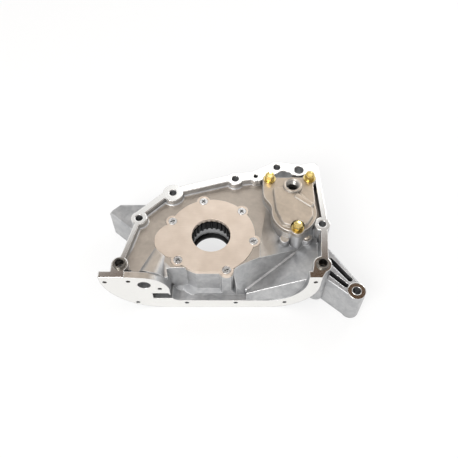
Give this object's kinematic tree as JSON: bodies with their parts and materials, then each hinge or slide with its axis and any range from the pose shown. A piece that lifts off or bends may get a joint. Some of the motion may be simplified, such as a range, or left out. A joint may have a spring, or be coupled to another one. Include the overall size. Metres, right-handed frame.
{
  "type": "engine oil pump front cover",
  "caption": "Engine front cover with built-in gerotor oil pump, relief valve, crank seal, bolted gallery cover, sump rail, pickup port and bracket arm.",
  "frame": {"origin": "on the crankshaft axis, in the plane of the block gasket face", "axes": "+Z along the crankshaft axis towards the block, +Y away from the sump, +X to the right seen from the block"},
  "size_m": [0.3063, 0.1824, 0.0883],
  "materials": {
    "casting": "sand-cast, matte",
    "ground_plate": "ground",
    "cover_casting": "cast, matte",
    "steel": "plain steel",
    "sintered": "sintered, oiled",
    "seal_steel": "pressed sheet",
    "seal_rubber": "moulded rubber",
    "soft_washer": "annealed",
    "gasket": "pressed fibre",
    "yellow_zinc": "yellow passivated zinc on steel"
  },
  "bodies": {
    "housing": {"pump_body": "casting", "pump_cover": "ground_plate", "cover_screws": "steel", "seal_case": "seal_steel", "seal_lip": "seal_rubber", "garter_spring": "steel", "relief_spring": "steel", "relief_plug": "steel", "relief_plug_washer": "soft_washer", "gallery_cover": "cover_casting", "gallery_cover_gasket": "gasket", "gallery_bolts": "yellow_zinc", "gallery_flat_washers": "yellow_zinc", "gallery_spring_washers": "yellow_zinc", "dowel_sleeves": "steel", "cup_plug": "steel", "gallery_plug": "steel"},
    "inner": {"inner_rotor": "sintered"},
    "outer": {"outer_rotor": "sintered"},
    "piston": {"relief_piston": "steel"}
  },
  "joints": [
    {"name": "inner_spin", "type": "hinge", "parent": "housing", "child": "inner", "pos_m": [0, 0, 0], "axis": [0, 0, 1], "continuous": true},
    {"name": "outer_spin", "type": "hinge", "parent": "housing", "child": "outer", "pos_m": [0, -0.0029, 0], "axis": [0, 0, 1], "continuous": true},
    {"name": "relief_slide", "type": "slide", "parent": "housing", "child": "piston", "axis": [0, 0, -1], "range_m": [0, 0.009], "deforming": ["relief_spring"]}
  ],
  "couplings": [
    {"joint": "outer_spin", "follows": "inner_spin", "ratio": 0.9}
  ]
}
